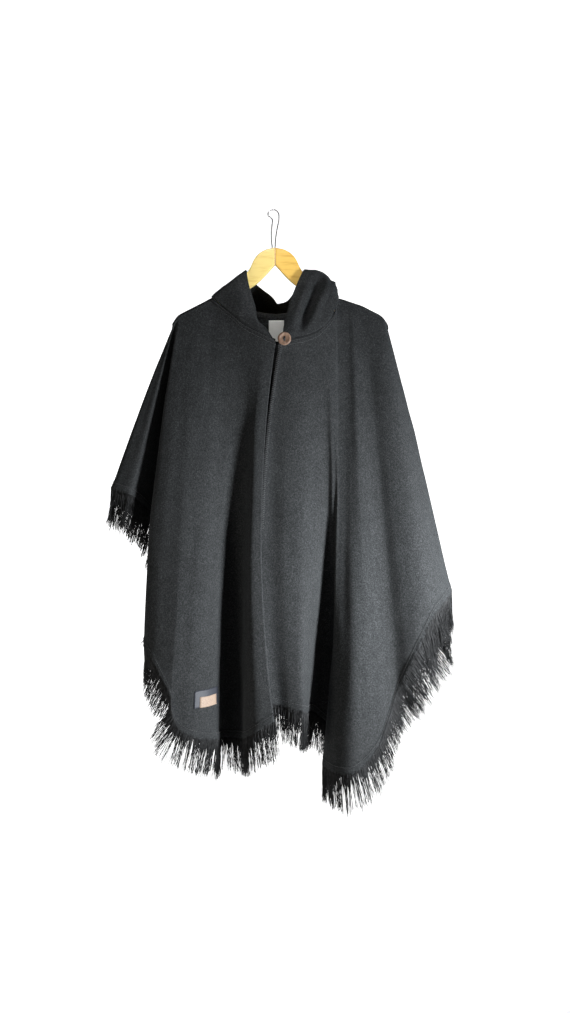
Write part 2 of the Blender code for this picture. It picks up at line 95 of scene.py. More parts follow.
# Rows of a panel: out and down round the shoulder's roll, then distances below the roll, then even
# rows, then distances above the hem, with how far the turned band stands out at each
ROLL_ROWS = (
    (0.0, 0.0, 0.0), (0.18, 0.005, 0.17), (0.35, 0.02, 0.33),
    (0.6, 0.15, 0.5), (0.8, 0.34, 0.67), (0.93, 0.64, 0.84),
)
ROWS_BELOW_ROLL = (0.0, 1.3, 2.0, 2.7, 4.0, 9.0)
EVEN_ROWS = 54
HEM_ROWS = (
    (26.0, 0.0), (20.0, 0.0), (18.4, 0.15),
    (17.2, 0.8), (16.2, 1.0), (15.3, 0.7),
    (14.7, 0.2), (14.1, 0.7), (12.0, 1.0),
    (7.0, 1.1), (3.0, 1.0), (1.0, 0.6),
    (0.0, 0.1),
)
HEM_STITCH_ROW = len(ROLL_ROWS) + len(ROWS_BELOW_ROLL) + EVEN_ROWS + 6
NECK_STITCH_ROWS = (3, 8)

# The cloth's soft unevenness: rows and columns over which it starts, turns a millimetre, heights
CALM_ROWS, CALM_COLUMNS = 30, 10
WAVE_SIZE, WAVE_STRETCH, RIPPLE_FINER = 0.011, 0.45, 2.9
WAVE_HEIGHT, RIPPLE_HEIGHT = 3.2, 1.3

NECK_FRONT = (
    (-140, -9, -187.4), (-118, -17, -205), (-94, -26, -225),
    (-73, -33, -244), (-56, -38.5, -255), (-39, -44, -264),
    (-22, -48, -273), (-2, -50, -283), (5, -50, -285),
    (18, -49, -284), (39, -47, -280), (65, -43, -274),
    (88, -37, -263), (103, -32, -250), (114, -27, -238),
    (123, -22, -225), (130, -15, -208), (134, -9, -187.4),
)
NECK_BACK = (
    (-140, 9, -187.4), (-112, 19, -207), (-70, 26, -222),
    (0, 29, -229), (60, 27, -224), (105, 19, -207),
    (134, 9, -187.4),
)

# Fold lines, left of the slit: name, x at the top, x, y and z at the hem, sideways bow
FRONT_LEFT = (
    ("ridge", -224, -357, 20, -595, -4),
    ("ridge_turn", -223.85, -357, 12, -596, -4),
    ("wing_face", -222.6, -336, -2, -604, 0),
    ("wing_crease", -221, -314, -8, -610, 0),
    ("wing_inner", -219, -296, 15, -625, 0),
    ("wing_shadow", -217, -272, 50, -654, 0),
    ("gully_bed", -215, -223, 62, -753, 0),
    ("gully_wall", -213, -234, 10, -876, -6),
    ("side_fold", -210, -280, -38, -930, -14),
    ("side_face", -200, -260, -62, -958, -6),
    ("side_hem", -187, -241, -74, -989, 0),
    ("corner_up", -173, -221, -84, -1027, 0),
    ("corner", -156, -217, -87, -1067, 0),
    ("corner_low", -141, -201, -86, -1098, 0),
    ("neck_corner", -139.5, -186, -85, -1108, 0),
    ("left_lobe", -118, -160, -75, -1118, -8),
    ("recess_lip", -94, -125, -38, -1128, -20),
    ("recess_bed", -73, -115, 34, -1139, 0),
    ("recess_wall", -56, -86, 12, -1135, -8),
    ("belly_lip", -39, -61, -60, -1119, -14),
    ("belly", -22, -38, -84, -1101, -24),
    ("front_edge", -2, -3, -92, -1079, -28),
)
FRONT_RIGHT = (
    ("front_edge", 5, -17, -72, -1046, -28),
    ("under", 18, 6, -70, -1050, -26),
    ("belly", 39, 33, -84, -1056, -18),
    ("belly_lip", 65, 55, -88, -1060, -8),
    ("recess_lip", 88, 62, -58, -1068, 2),
    ("lobe_recess", 100, 86, 34, -1087, 14),
    ("hidden", 109, 122, 46, -1126, 8),
    ("hidden_wall", 117, 118, 20, -1173, 8),
    ("lobe_fold", 125, 97, -36, -1183, 4),
    ("lobe_neck", 133.5, 110, -60, -1187, 3),
    ("lobe", 143, 128, -86, -1188, 4),
    ("lobe_low", 153, 153, -104, -1185, 4),
    ("corner_low", 162, 187, -100, -1163, 0),
    ("corner", 171, 212, -92, -1133, 0),
    ("corner_up", 179, 234, -80, -1079, 0),
    ("side_hem", 190, 253, -74, -1022, 0),
    ("side_face", 201, 275, -84, -971, 0),
    ("side_turn", 213, 303, -88, -911, 0),
    ("wing_under", 221, 331, -78, -860, 0),
    ("wing_lip", 232, 359, -45, -832, 0),
    ("ridge_turn", 238.85, 375, -9, -816, 3),
    ("ridge", 239, 375, 0, -815, 3),
)


def refined(points, steps):
    """A smooth curve through the points with steps pieces between neighbours, eased by their distances."""
    gaps = [max((b - a).length, 1e-9) for a, b in zip(points, points[1:])]
    rises = [(b - a) / gap for a, b, gap in zip(points, points[1:], gaps)]
    slopes = [rises[0]]
    for i in range(1, len(points) - 1):
        share = gaps[i] / (gaps[i - 1] + gaps[i])
        slopes.append(rises[i - 1] * share + rises[i] * (1 - share))
    slopes.append(rises[-1])
    made = []
    for i, gap in enumerate(gaps):
        for k in range(steps):
            t = k / steps
            made.append(
                points[i] * (1 + 2 * t) * (1 - t) ** 2
                + slopes[i] * gap * t * (1 - t) ** 2
                + points[i + 1] * t * t * (3 - 2 * t)
                + slopes[i + 1] * gap * t * t * (t - 1)
            )
    made.append(points[-1].copy())
    return made


def along(table, x):
    """y and z of a neck seam at x."""
    for (x0, y0, z0), (x1, y1, z1) in zip(table, table[1:]):
        if x0 <= x <= x1:
            t = (x - x0) / (x1 - x0)
            return y0 + (y1 - y0) * t, z0 + (z1 - z0) * t
    raise ValueError(x)


def shoulder_z(x):
    """The shoulder's height: straight over the wood, loose on the right, and rounded down at both tips."""
    outer = SHOULDER_RIGHT if x > 0 else -SHOULDER_LEFT
    past = max(0.0, abs(x) - (outer - SHOULDER_TIP_ROUND)) / SHOULDER_TIP_ROUND
    ease = SHOULDER_EASE * min(1.0, max(0.0, (x - NECK_FRONT[-1][0]) / EASE_RUN))
    return SHOULDER_TOP - SHOULDER_SLOPE * abs(x - HANGER_MIDDLE) + ease - SHOULDER_TIP_DROP * past * past


def top_point(x, side):
    """Where a fold line starts, whether it rolls over the shoulder, and how far it is round the tip."""
    neck = NECK_FRONT if side < 0 else NECK_BACK
    if neck[0][0] <= x <= neck[-1][0]:
        y, z = along(neck, x)
        return Vector((x, y, z)), 0.0, 0.0
    outer = SHOULDER_RIGHT if x > 0 else -SHOULDER_LEFT
    past = max(0.0, abs(x) - (outer - SHOULDER_HALF_DEPTH)) / SHOULDER_HALF_DEPTH
    depth = SHOULDER_HALF_DEPTH * sqrt(max(0.0, 1 - past * past))
    return Vector((x, side * max(depth, TIP_GAP), shoulder_z(x))), 1.0, past


def fold_line(row, side):
    """The points of one fold line, from the seam over the shoulder down to the hem."""
    name, top_x, hem_x, hem_y, hem_z, bow = row
    deepening, sway = LATE_FOLDS.get(name, (1, 1))
    fullness = side * FULLNESS if name in LATE_FOLDS else hem_y
    top, roll, past = top_point(top_x, side)
    seam_y = side * (SEAM_GAP + (TIP_GAP - SEAM_GAP) * past)
    points = []
    for out, over, round_tip in ROLL_ROWS:
        down = over + (round_tip - over) * max(past * past, 1 - roll)
        y = top.y + (seam_y + (top.y - seam_y) * out - top.y) * roll
        points.append(Vector((top.x, y, top.z - down * ROLL_HEIGHT)))
    start = Vector((top.x, top.y, top.z - ROLL_HEIGHT))
    hem = Vector((hem_x, hem_y + side * SEAM_GAP, hem_z))
    whole = (hem - start).length
    first = ROWS_BELOW_ROLL[-1] / whole
    last = 1 - HEM_ROWS[0][0] / whole
    shares = [distance / whole for distance in ROWS_BELOW_ROLL]
    shares += [first + (last - first) * (i + 1) / (EVEN_ROWS + 1) for i in range(EVEN_ROWS)]
    shares += [1 - distance / whole for distance, _ in HEM_ROWS]
    for v in shares:
        point = start.lerp(hem, v)
        point.x = start.x + (hem.x - start.x) * v**sway + bow * 4 * v * (1 - v)
        depth = start.y * (1 - v**START_POWER) + fullness * v**DEPTH_POWER
        point.y = depth + (hem.y - fullness) * v**deepening
        points.append(point)
    return points


def slit_row(row, side):
    """The row of a fold line's points at which the slit ends."""
    points = fold_line(row, side)
    top, hem = points[len(ROLL_ROWS)], points[-1]
    return min(range(len(points)), key=lambda r: abs(points[r].z - (top.z + (hem.z - top.z) * SLIT_END)))


def sheet(table, side):
    """Columns of points across a panel, with several columns to each fold line of the table."""
    lines = [fold_line(row, side) for row in table]
    rows = [refined([line[i] for line in lines], COLUMNS_PER_FOLD) for i in range(len(lines[0]))]
    for row in rows[: len(ROLL_ROWS)]:
        for point in row:
            point.y = side * max(side * point.y, SEAM_GAP)
    return [[row[c] for row in rows] for c in range(len(rows[0]))]


def normals_of(columns, side):
    """The outward direction at each point of a grid."""
    normals = []
    for c, column in enumerate(columns):
        west, east = columns[max(c - 1, 0)], columns[min(c + 1, len(columns) - 1)]
        line = []
        for r in range(len(column)):
            across = east[r] - west[r]
            down = column[min(r + 1, len(column) - 1)] - column[max(r - 1, 0)]
            line.append(down.cross(across).normalized() * (1 if side < 0 else -1))
        normals.append(line)
    return normals


def dressed(columns, side, seed, edge=None):
    """The columns with the cloth's soft unevenness and the turned band of the hem."""
    normals = normals_of(columns, side)
    band_from = len(columns[0]) - len(HEM_ROWS)
    last_column = len(columns) - 1
    made = []
    for c, column in enumerate(columns):
        line = []
        for r, point in enumerate(column):
            calm = min(1.0, r / CALM_ROWS) * min(1.0, c / CALM_COLUMNS, (last_column - c) / CALM_COLUMNS)
            at = Vector((point.x, point.y, point.z * WAVE_STRETCH)) * WAVE_SIZE + Vector((seed, 0, 0))
            lift = calm * (WAVE_HEIGHT * noise.noise(at) + RIPPLE_HEIGHT * noise.noise(at * RIPPLE_FINER))
            if r >= band_from:
                lift += HEM_ROWS[r - band_from][1]
            if edge:
                lift += edge(c, r, columns)
            line.append(point + normals[c][r] * lift)
        made.append(line)
    return made


def evaluated_mesh(obj):
    """What the modifiers or the curve's own settings make of the object, as a new mesh."""
    bpy.context.view_layer.update()
    graph = bpy.context.evaluated_depsgraph_get()
    return bpy.data.meshes.new_from_object(obj.evaluated_get(graph), depsgraph=graph)


def plain(obj):
    """Turns what the modifiers make into the object's own mesh."""
    mesh = evaluated_mesh(obj)
    obj.modifiers.clear()
    obj.data = mesh
    mesh.name = obj.name
    return obj


def linked(name, data):
    """An object of this mesh, curve, light or camera in the scene."""
    obj = bpy.data.objects.new(name, data)
    bpy.context.scene.collection.objects.link(obj)
    return obj


def finished(shape, name, outward=True):
    """The bmesh as a mesh of this name, its faces turned outward unless they are right already."""
    if outward:
        bmesh.ops.recalc_face_normals(shape, faces=shape.faces)
    mesh = bpy.data.meshes.new(name)
    shape.to_mesh(mesh)
    shape.free()
    return mesh


def smooth_piece(shape, name, finish, outward=True):
    """The bmesh as a smooth object of this material in the scene."""
    obj = linked(name, finished(shape, name, outward))
    obj.data.materials.append(finish)
    obj.data.shade_smooth()
    return obj


def cloth(name, grids, finish, flip=False, joined_from=None, thickness=CLOTH):
    """One cloth wall on grids of points given as columns; joined_from sews two grids below that row."""
    shape = bmesh.new()
    made = [[[shape.verts.new(p * MM) for p in column] for column in grid] for grid in grids]
    strips = [pair for grid in made for pair in zip(grid, grid[1:])]
    starts = [0] * len(strips)
    if joined_from is not None:
        strips.append((made[0][-1], made[1][0]))
        starts.append(joined_from)
    for (left, right), first in zip(strips, starts):
        for r in range(first, len(left) - 1):
            corners = (left[r], left[r + 1], right[r + 1], right[r])
            shape.faces.new(corners[::-1] if flip else corners)
    obj = smooth_piece(shape, name, finish, outward=False)
    wall = obj.modifiers.new("wall", "SOLIDIFY")
    wall.thickness = thickness * MM
    wall.offset = -1
    return plain(obj)


def new_material(name, inputs):
    """A material with its node tree, its shader with these inputs set, and its object coordinates."""
    material = bpy.data.materials.new(name)
    material.use_nodes = True
    tree = material.node_tree
    shader = tree.nodes["Principled BSDF"]
    for label, value in inputs.items():
        shader.inputs[label].default_value = value
    where = tree.nodes.new("ShaderNodeTexCoord").outputs["Object"]
    return material, tree, shader, where


def noise_node(tree, where, scale, detail=3.0, roughness=0.5, stretch=(1, 1, 1), turn=(0, 0, 0)):
    """A noise texture's value on stretched coordinates, scale in turns a metre."""
    mapping = tree.nodes.new("ShaderNodeMapping")
    mapping.inputs["Scale"].default_value = stretch
    mapping.inputs["Rotation"].default_value = turn
    tree.links.new(where, mapping.inputs["Vector"])
    texture = tree.nodes.new("ShaderNodeTexNoise")
    texture.inputs["Scale"].default_value = scale
    texture.inputs["Detail"].default_value = detail
    texture.inputs["Roughness"].default_value = roughness
    tree.links.new(mapping.outputs["Vector"], texture.inputs["Vector"])
    return texture.outputs["Fac"]


def ramp(tree, value, stops):
    """A colour ramp over a value: stops are (place, colour)."""
    node = tree.nodes.new("ShaderNodeValToRGB")
    while len(node.color_ramp.elements) < len(stops):
        node.color_ramp.elements.new(0.5)
    for element, (place, colour) in zip(node.color_ramp.elements, stops):
        element.position = place
        element.color = (*colour, 1)
    tree.links.new(value, node.inputs["Fac"])
    return node.outputs["Color"]


def maths(tree, operation, first, second):
    """A maths node on two values, each a socket or a number."""
    node = tree.nodes.new("ShaderNodeMath")
    node.operation = operation
    for socket, value in zip(node.inputs, (first, second)):
        if isinstance(value, (int, float)):
            socket.default_value = value
        else:
            tree.links.new(value, socket)
    return node.outputs["Value"]


def bump(tree, shader, height, distance, strength):
    """Bump from a height of 0 to 1 that stands for this distance in metres."""
    node = tree.nodes.new("ShaderNodeBump")
    node.inputs["Distance"].default_value = distance
    node.inputs["Strength"].default_value = strength
    tree.links.new(height, node.inputs["Height"])
    tree.links.new(node.outputs["Normal"], shader.inputs["Normal"])


def coloured(tree, shader, value, *stops):
    """The shader's colour from a ramp over a value."""
    tree.links.new(ramp(tree, value, stops), shader.inputs["Base Color"])


def weighted(tree, *terms):
    """The sum of values, each times its weight."""
    total = maths(tree, "MULTIPLY", *terms[0])
    for term in terms[1:]:
        total = maths(tree, "ADD", total, maths(tree, "MULTIPLY", *term))
    return total


felt, tree, shader, where = new_material(
    "black_felt",
    {
        "Roughness": 0.95, "Specular IOR Level": 0.06, "Sheen Weight": 0.05,
        "Sheen Roughness": 0.5, "Sheen Tint": (0.75, 0.8, 0.85, 1),
    },
)
fibres = noise_node(tree, where, 900, 4, 0.65, (1, 1, 0.45))
heather = noise_node(tree, where, 330, 5, 0.75)
mottle = noise_node(tree, where, 40, 2, 0.5)
blend = weighted(tree, (fibres, 0.44), (heather, 0.5), (mottle, 0.06))
coloured(
    tree,
    shader,
    blend,
    (0.36, (0.011, 0.0113, 0.0117)),
    (0.5, (0.0255, 0.0266, 0.0275)),
    (0.64, (0.061, 0.0632, 0.065)),
)
bump(tree, shader, maths(tree, "ADD", fibres, maths(tree, "MULTIPLY", heather, 0.8)), 0.0012, 0.7)

WHIP_BAND = 8.0


def whip_band(c, r, columns):
    """The right edge of the slit is turned back in a narrow band."""
    if r > RIGHT_SLIT_ROW:
        return 0.0
    away = (columns[c][r] - columns[0][r]).length
    return 0.9 * max(0.0, 1 - (away / WHIP_BAND) ** 6) if away < WHIP_BAND else 0.0


RIGHT_SLIT_ROW = slit_row(FRONT_RIGHT[0], -1)
left_grid = dressed(sheet(FRONT_LEFT, -1), -1, 3.0)
right_grid = dressed(sheet(FRONT_RIGHT, -1), -1, 7.0, whip_band)
front = cloth("front_felt", [left_grid, right_grid], felt, joined_from=RIGHT_SLIT_ROW)
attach(front, "root")
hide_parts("front")

# Back panel: the same felted wool, falling from the shoulders and the back of the neck behind the hanger,
# in one piece with the front over the shoulders.
BACK = (
    ("left_ridge", -224, -357, 20, -595, -4),
    ("left_turn", -223.85, -357, 29, -596, -4),
    ("left_edge", -222.6, -350, 44, -608, 0),
    ("left_wing", -220, -328, 58, -621, 0),
    ("left_wing_inner", -215, -290, 74, -654, 0),
    ("left_side_up", -208, -246, 98, -755, 0),
    ("left_side", -196, -252, 108, -914, 0),
    ("left_corner_up", -178, -231, 146, -1017, 0),
    ("left_corner", -158, -191, 96, -1071, 0),
    ("fold_1", -141, -160, 142, -1087, 0),
    ("left_neck", -139.5, -131, 142, -1087, 0),
    ("valley_1", -112, -100, 88, -1077, 0),
    ("fold_2", -70, -52, 148, -1072, 0),
    ("valley_2", 0, -2, 88, -1062, 0),
    ("fold_3", 60, 48, 150, -1068, 0),
    ("valley_3", 105, 92, 88, -1069, 0),
    ("right_neck", 133.5, 120, 138, -1087, 0),
    ("fold_4", 136, 149, 140, -1087, 0),
    ("valley_4", 154, 178, 90, -1105, 0),
    ("right_corner_low", 172, 216, 150, -1106, 0),
    ("right_corner", 188, 250, 92, -1071, 0),
    ("right_side", 204, 283, 142, -1033, 0),
    ("right_side_up", 219, 318, 94, -981, 0),
    ("right_wing", 231, 354, 96, -926, 0),
    ("right_edge", 236.7, 374, 56, -863, 0),
    ("right_turn", 238.85, 375, 9, -816, 3),
    ("right_ridge", 239, 375, 0, -815, 3),
)
back_grid = dressed(sheet(BACK, 1), 1, 11.0)
back = cloth("back_felt", [back_grid], felt, flip=True)
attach(back, "root")
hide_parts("back")

# Stitches: black thread in the felt. Two rows below the neck seam, one along the hem's turned band, and
# slanted whip stitches over the right edge of the slit.
STITCH_SIDES = 6
NECK_STITCH_LIFT, HEM_STITCH_LIFT = 0.15, 0.25
WHIP_IN, WHIP_LIFT, WHIP_SLANT = 3.6, 0.7, 0.45
# Pitch, turn to either side, least and most scale of the seams' stitches and of the whip stitches
SEAM_SPREAD = (5.0, (0, 0, 0.06), (0.95, 0.9, 0.9), (1.05, 1.1, 1.1))
WHIP_SPREAD = (4.6, (0, 0, 0.1), (0.9, 0.9, 0.9), (1.1, 1.1, 1.1))
MOST_PICK = 97


def line_mesh(name, lines):
    """Edges through the lines' points, with each point's along and out directions as attributes."""
    points, edges, along_of, out_of = [], [], [], []
    for line in lines:
        for i, (point, along_here, out) in enumerate(line):
            if i:
                edges.append((len(points) - 1, len(points)))
            points.append(point * MM)
            along_of.append(along_here)
            out_of.append(out)
    mesh = bpy.data.meshes.new(name)
    mesh.from_pydata(points, edges, [])
    for label, values in (("along", along_of), ("out", out_of)):
        attribute = mesh.attributes.new(label, "FLOAT_VECTOR", "POINT")
        attribute.data.foreach_set("vector", [x for value in values for x in value])
    return linked(name, mesh)


def repeat_group(name):
    """Geometry nodes that set copies from a collection along lines, turned to their attributes."""
    group = bpy.data.node_groups.new(name, "GeometryNodeTree")
    face = group.interface
    face.new_socket("Geometry", in_out="INPUT", socket_type="NodeSocketGeometry")
    sockets = []
    for label, kind in (
        ("Copies", "NodeSocketCollection"),
        ("Pitch", "NodeSocketFloat"),
        ("Turn", "NodeSocketVector"),
        ("Least scale", "NodeSocketVector"),
        ("Most scale", "NodeSocketVector"),
        ("Seed", "NodeSocketInt"),
        ("Material", "NodeSocketMaterial"),
    ):
        sockets.append(face.new_socket(label, in_out="INPUT", socket_type=kind).identifier)
    face.new_socket("Geometry", in_out="OUTPUT", socket_type="NodeSocketGeometry")
    add = group.nodes.new
    given, made = add("NodeGroupInput"), add("NodeGroupOutput")
    curve = add("GeometryNodeMeshToCurve")
    points = add("GeometryNodeCurveToPoints")
    points.mode = "LENGTH"
    along_name, out_name = add("GeometryNodeInputNamedAttribute"), add("GeometryNodeInputNamedAttribute")
    first, second = add("FunctionNodeAlignRotationToVector"), add("FunctionNodeAlignRotationToVector")
    for node, label in ((along_name, "along"), (out_name, "out")):
        node.data_type = "FLOAT_VECTOR"
        node.inputs["Name"].default_value = label
    first.axis = "X"
    second.axis = "Z"
    second.pivot_axis = "X"
    turns, scales, picks = [add("FunctionNodeRandomValue") for _ in range(3)]
    turns.data_type = "FLOAT_VECTOR"
    scales.data_type = "FLOAT_VECTOR"
    picks.data_type = "INT"
    picks.inputs[4].default_value = 0
    picks.inputs[5].default_value = MOST_PICK
    back_turn = add("ShaderNodeVectorMath")
    back_turn.operation = "SCALE"
    back_turn.inputs["Scale"].default_value = -1
    rotate = add("FunctionNodeRotateRotation")
    rotate.rotation_space = "LOCAL"
    copies = add("GeometryNodeCollectionInfo")
    copies.inputs["Separate Children"].default_value = True
    copies.inputs["Reset Children"].default_value = True
    place = add("GeometryNodeInstanceOnPoints")
    place.inputs["Pick Instance"].default_value = True
    real, paint = add("GeometryNodeRealizeInstances"), add("GeometryNodeSetMaterial")
    for source, output, target, socket in (
        (given, "Geometry", curve, "Mesh"),
        (curve, "Curve", points, "Curve"),
        (given, "Pitch", points, "Length"),
        (along_name, "Attribute", first, "Vector"),
        (first, "Rotation", second, "Rotation"),
        (out_name, "Attribute", second, "Vector"),
        (given, "Turn", turns, 1),
        (given, "Turn", back_turn, "Vector"),
        (back_turn, "Vector", turns, 0),
        (given, "Least scale", scales, 0),
        (given, "Most scale", scales, 1),
        (given, "Seed", turns, "Seed"),
        (given, "Seed", scales, "Seed"),
        (given, "Seed", picks, "Seed"),
        (second, "Rotation", rotate, "Rotation"),
        (turns, 0, rotate, "Rotate By"),
        (given, "Copies", copies, "Collection"),
        (points, "Points", place, "Points"),
        (copies, "Instances", place, "Instance"),
        (picks, 2, place, "Instance Index"),
        (rotate, "Rotation", place, "Rotation"),
        (scales, 0, place, "Scale"),
        (place, "Instances", real, "Geometry"),
        (real, "Geometry", paint, "Geometry"),
        (given, "Material", paint, "Material"),
        (paint, "Geometry", made, "Geometry"),
    ):
        group.links.new(source.outputs[output], target.inputs[socket])
    return group, sockets


REPEAT, REPEAT_SOCKETS = repeat_group("copies_along_lines")


def repeated(name, lines, copies, material, pitch, turn, least, most, seed):
    """Copies of the meshes along the lines, as one plain mesh."""
    store = bpy.data.collections.new(name + "_copies")
    for i, mesh in enumerate(copies):
        store.objects.link(bpy.data.objects.new(f"{name}_copy_{i}", mesh))
    obj = line_mesh(name, lines)
    modifier = obj.modifiers.new("copies", "NODES")
    modifier.node_group = REPEAT
    values = (store, pitch * MM, turn, least, most, seed, material)
    for socket, value in zip(REPEAT_SOCKETS, values):
        modifier[socket] = value
    plain(obj)
    for copy in list(store.objects):
        bpy.data.objects.remove(copy)
    bpy.data.collections.remove(store)
    obj.data.shade_smooth()
    return obj


def tube(path, radii, sides, shape=None):
    """A closed tube of so many sides along a path, in metres, in a new or given bmesh."""
    own = shape is None
    shape = bmesh.new() if own else shape
    rings = []
    for i, point in enumerate(path):
        ahead = (path[min(i + 1, len(path) - 1)] - path[max(i - 1, 0)]).normalized()
        side = ahead.cross(Vector((0.31, 0.95, 0.02))).normalized()
        up = side.cross(ahead)
        ring = []
        for k in range(sides):
            a = 2 * pi * k / sides
            ring.append(shape.verts.new(point + (side * cos(a) + up * sin(a)) * radii[i]))
        rings.append(ring)
    for near, far in zip(rings, rings[1:]):
        for k in range(sides):
            shape.faces.new((near[k], near[(k + 1) % sides], far[(k + 1) % sides], far[k]))
    shape.faces.new(rings[0][::-1])
    shape.faces.new(rings[-1])
    return shape


def stitch_mesh(name, length, width, height):
    """One stitch: a short bowed length of thread that dives into the cloth at both ends, along X."""
    path, radii = [], []
    for i in range(7):
        t = i / 6
        path.append(Vector(((t - 0.5) * length, 0, height * sin(pi * t) - 0.25 * height)) * MM)
        radii.append(width / 2 * (0.55 + 0.45 * sin(pi * t)) * MM)
    return finished(tube(path, radii, STITCH_SIDES), name)


def row_line(grid, side, row, first, last, lift):
    """A line along a row of a grid: point, along and out."""
    normals = normals_of(grid, side)
    line = []
    for c in range(first, last + 1):
        ahead = (grid[min(c + 1, len(grid) - 1)][row] - grid[max(c - 1, 0)][row]).normalized()
        line.append((grid[c][row] + normals[c][row] * lift, ahead, normals[c][row]))
    return line


def neck_span(grid, table):
    """The first and last column of a grid that hang from the neck seam."""
    inside = [c for c, column in enumerate(grid) if table[0][0] <= column[0].x <= table[-1][0]]
    return inside[0], inside[-1]


thread, tree, shader, where = new_material("black_thread", {"Roughness": 0.7, "Sheen Weight": 0.2})
ply = noise_node(tree, where, 1800, 2, 0.5, (1, 1, 0.6))
coloured(tree, shader, ply, (0.35, (0.01, 0.01, 0.01)), (0.7, (0.05, 0.05, 0.052)))
bump(tree, shader, ply, 0.0004, 0.6)

seam_stitch = stitch_mesh("seam_stitch", 4.2, 0.9, 0.5)
neck_lines, hem_lines = [], []
for grid, side, neck in (
    (left_grid, -1, NECK_FRONT),
    (right_grid, -1, NECK_FRONT),
    (back_grid, 1, NECK_BACK),
):
    first, last = neck_span(grid, neck)
    neck_lines += [row_line(grid, side, row, first, last, NECK_STITCH_LIFT) for row in NECK_STITCH_ROWS]
    hem_lines.append(row_line(grid, side, HEM_STITCH_ROW, 1, len(grid) - 2, HEM_STITCH_LIFT))
neck_stitches = repeated("neck_stitches", neck_lines, [seam_stitch], thread, *SEAM_SPREAD, 4)
hem_stitches = repeated("hem_stitches", hem_lines, [seam_stitch], thread, *SEAM_SPREAD, 5)
whip_stitch = stitch_mesh("whip_stitch", 9.0, 1.2, 1.0)
right_normals = normals_of(right_grid, -1)
whip_line = []
for r in range(2, RIGHT_SLIT_ROW + 1):
    edge = right_grid[0][r]
    across = (right_grid[1][r] - edge).normalized()
    down = (right_grid[0][r + 1] - right_grid[0][r - 1]).normalized()
    out = right_normals[0][r]
    slanted = (across - down * WHIP_SLANT).normalized()
    whip_line.append((edge + across * WHIP_IN + out * WHIP_LIFT, slanted, out))
whip_stitches = repeated("slit_whip_stitches", [whip_line], [whip_stitch], thread, *WHIP_SPREAD, 6)
for piece in (neck_stitches, hem_stitches, whip_stitches):
    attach(piece, "root")

# Fringe: loose spun yarn knotted into the whole hem, front and back, in locks that part at their tips.
# Each panel's fold lines along the hem, and between two of them how far the locks splay off its line
FRONT_FRINGES = (
    (
        (FRONT_LEFT, left_grid, -1),
        ("ridge", 0.6, "wing_shadow", 0.3, "side_fold", 1.5, "corner", 1.2, "recess_lip", 0.3)
        + ("front_edge",),
    ),
    (
        (FRONT_RIGHT, right_grid, -1),
        ("front_edge", 0.3, "hidden_wall", 0.4, "lobe_fold", 1.0, "corner", 1.2, "side_turn", 0.35)
        + ("wing_under", 1.3, "ridge"),
    ),
)
BACK_FRINGES = (
    (
        (BACK, back_grid, 1),
        ("left_ridge", 0.6, "left_corner", 0.4, "valley_4", 0.8, "right_side", 1.5, "right_ridge"),
    ),
)
LOCK_SEED, LOCKS, STRANDS, YARN_LENGTH = 4, 16, 5, 77.0
# Pitch, turn to either side, least and most scale of the locks
LOCK_SPREAD = (2.6, (0.06, 0.08, 0.2), (0.9, 0.9, 0.9), (1.1, 1.1, 1.06))
# A lock's width, depth and rise at its knot, how far its tips part along and out, its strands' sway
LOCK_WIDTH, LOCK_DEPTH, KNOT_RISE = 4.0, 1.4, 3.0
TIPS_ALONG, TIPS_OUT, STRAND_SWAY = 13.0, 9.0, 2.6
# A strand's radius, what the twist adds to it at the knot and what it loses by its tip
YARN_RADIUS, TWIST_RADIUS, TIP_LOSS = 0.5, 0.75, 0.15
# Where the knots stand: up from the hem's edge and out of the middle of the cloth
KNOT_UP, KNOT_OUT = 0.6, 1.0


def yarn_lock(name, seed, strands, length):
    """A bunch of yarn ends that hangs along -Z from a knot, spreads and closes again at its tip."""
    shape = bmesh.new()
    for k in range(strands):
        key = Vector((seed * 7.3, k * 3.1, 0.7))
        start = Vector(((k / (strands - 1) - 0.5) * LOCK_WIDTH, LOCK_DEPTH * noise.noise(key), KNOT_RISE))
        reach = length * (0.84 + 0.26 * (0.5 + noise.noise(key * 1.7)))
        tip_x = start.x + TIPS_ALONG * noise.noise(key + Vector((9, 0, 0)))
        tip_y = TIPS_OUT * noise.noise(key + Vector((0, 9, 0)))
        tip = Vector((tip_x, tip_y, -reach))
        path, radii = [], []
        for i in range(8):
            t = i / 7
            sway = noise.noise_vector(key + Vector((0, 0, 2.2 * t))) * STRAND_SWAY * sin(pi * t * 0.9)
            point = start.lerp(tip, t) + Vector((sway.x, sway.y, 0))
            path.append(point * MM)
            radii.append((YARN_RADIUS + TWIST_RADIUS * max(0.0, 1 - t / 0.45) - TIP_LOSS * t) * MM)
        tube(path, radii, 3, shape)
    return finished(shape, name)


def hem_line(grid, first, last, side, splay):
    """The hem between two columns: point, along, and the way up from the hanging locks."""
    line = []
    for c in range(first, last + 1):
        column = grid[c]
        ahead = (grid[min(c + 1, len(grid) - 1)][-1] - grid[max(c - 1, 0)][-1]).normalized()
        down = (column[-1] - column[-3]).normalized()
        off = (down - ahead * down.dot(ahead)).normalized()
        through = ahead.cross(down).normalized() * (1 if side < 0 else -1)
        hang = (Vector((0, 0, -1)) + off * splay).normalized()
        level = (ahead - hang * ahead.dot(hang)).normalized()
        line.append((column[-1] - off * KNOT_UP + through * KNOT_OUT, level, -hang))
    return line


